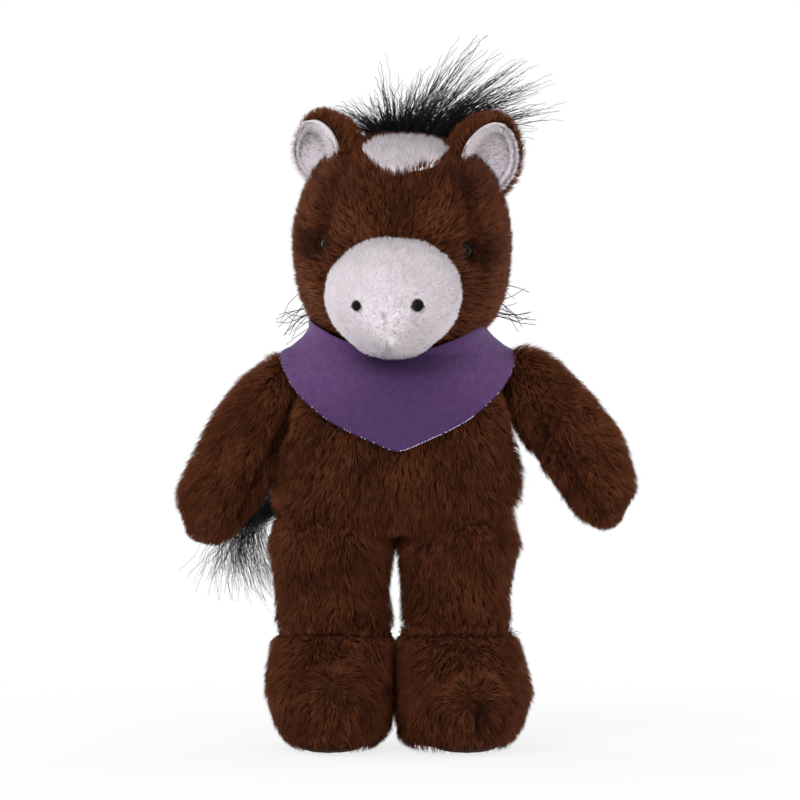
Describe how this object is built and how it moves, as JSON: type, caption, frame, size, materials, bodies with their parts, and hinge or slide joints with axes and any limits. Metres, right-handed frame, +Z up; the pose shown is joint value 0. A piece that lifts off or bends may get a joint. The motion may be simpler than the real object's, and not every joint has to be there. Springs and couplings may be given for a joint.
{
  "type": "plush horse",
  "caption": "Standing plush horse with fur-fabric skins over stuffing, short-pile muzzle, cupped ears, wiry hair, a neckerchief and turning head, limbs, ears and tail.",
  "frame": {"origin": "centre of the toy's box, at the floor it stands on", "axes": "+Z up from the soles to the forelock, -Y the way the face and toes point, +X towards the toy's own left"},
  "size_m": [0.1712, 0.117, 0.2637],
  "materials": {
    "brown_fur": "matte faux fur, 6 to 9 mm pile",
    "white_pile": "short white pile",
    "grey_pile": "short pale grey pile",
    "black_hair": "wiry black synthetic hair, slightly glossy",
    "stuffing": "white polyester fibre",
    "purple_cloth": "plain woven cloth, matte",
    "eye_plastic": "glossy black",
    "black_thread": "matte black thread",
    "washer_plastic": "plain white plastic",
    "pellet_cloth": "plain undyed cloth bag of pellets"
  },
  "bodies": {
    "torso": {"torso_skin": "brown_fur", "torso_stuffing": "stuffing", "neckerchief": "purple_cloth", "neckerchief_knot": "purple_cloth", "tail_base": "brown_fur"},
    "neck": {"neck_stuffing": "stuffing"},
    "head": {"head_skin": "brown_fur", "head_stuffing": "stuffing", "muzzle_skin": "white_pile", "muzzle_stuffing": "stuffing", "eye_left": "eye_plastic", "eye_right": "eye_plastic", "eye_washer_left": "washer_plastic", "eye_washer_right": "washer_plastic", "nostril_left": "black_thread", "nostril_right": "black_thread", "blaze_patch": "grey_pile", "forelock": "black_hair", "mane": "black_hair"},
    "arm_left": {"arm_left_skin": "brown_fur", "arm_left_stuffing": "stuffing"},
    "arm_right": {"arm_right_skin": "brown_fur", "arm_right_stuffing": "stuffing"},
    "leg_left": {"leg_left_skin": "brown_fur", "leg_left_stuffing": "stuffing", "foot_left_skin": "brown_fur", "foot_left_stuffing": "stuffing", "pellet_bag_left": "pellet_cloth", "sole_left": "brown_fur"},
    "leg_right": {"leg_right_skin": "brown_fur", "leg_right_stuffing": "stuffing", "foot_right_skin": "brown_fur", "foot_right_stuffing": "stuffing", "pellet_bag_right": "pellet_cloth", "sole_right": "brown_fur"},
    "ear_left": {"ear_left_back": "brown_fur", "ear_left_lining": "white_pile"},
    "ear_right": {"ear_right_back": "brown_fur", "ear_right_lining": "white_pile"},
    "tail": {"tail_hair": "black_hair"}
  },
  "joints": [
    {"name": "neck_turn", "type": "hinge", "parent": "torso", "child": "neck", "pos_m": [-0.00218, -0.00047, 0.1566], "axis": [0.0419, -0.0212, 0.9989], "range_deg": [-20, 20]},
    {"name": "head_nod", "type": "hinge", "parent": "neck", "child": "head", "pos_m": [-0.00218, -0.00047, 0.1566], "axis": [0.9952, -0.0871, -0.0436], "range_deg": [-12, 0]},
    {"name": "arm_left_swing", "type": "hinge", "parent": "torso", "child": "arm_left", "pos_m": [0.04664, -0.00047, 0.1335], "axis": [-1, 0, 0], "range_deg": [-50, 95]},
    {"name": "arm_right_swing", "type": "hinge", "parent": "torso", "child": "arm_right", "pos_m": [-0.05101, -0.00047, 0.1335], "axis": [-1, 0, 0], "range_deg": [-30, 120]},
    {"name": "leg_left_swing", "type": "hinge", "parent": "torso", "child": "leg_left", "pos_m": [-0.00218, -0.00047, 0.076], "axis": [-1, 0, 0], "range_deg": [-15, 42]},
    {"name": "leg_right_swing", "type": "hinge", "parent": "torso", "child": "leg_right", "pos_m": [-0.00218, -0.00047, 0.076], "axis": [-1, 0, 0], "range_deg": [-15, 42]},
    {"name": "ear_left_flop", "type": "hinge", "parent": "head", "child": "ear_left", "pos_m": [0.03257, -0.00475, 0.22579], "axis": [0.6442, 0.2732, -0.7144], "range_deg": [-10, 10]},
    {"name": "ear_right_flop", "type": "hinge", "parent": "head", "child": "ear_right", "pos_m": [-0.03102, 0.00081, 0.22858], "axis": [0.6466, -0.3862, 0.6578], "range_deg": [-10, 10]},
    {"name": "tail_swing", "type": "hinge", "parent": "torso", "child": "tail", "pos_m": [-0.00518, 0.04539, 0.0915], "axis": [0, 0, 1], "range_deg": [-120, 5]}
  ]
}
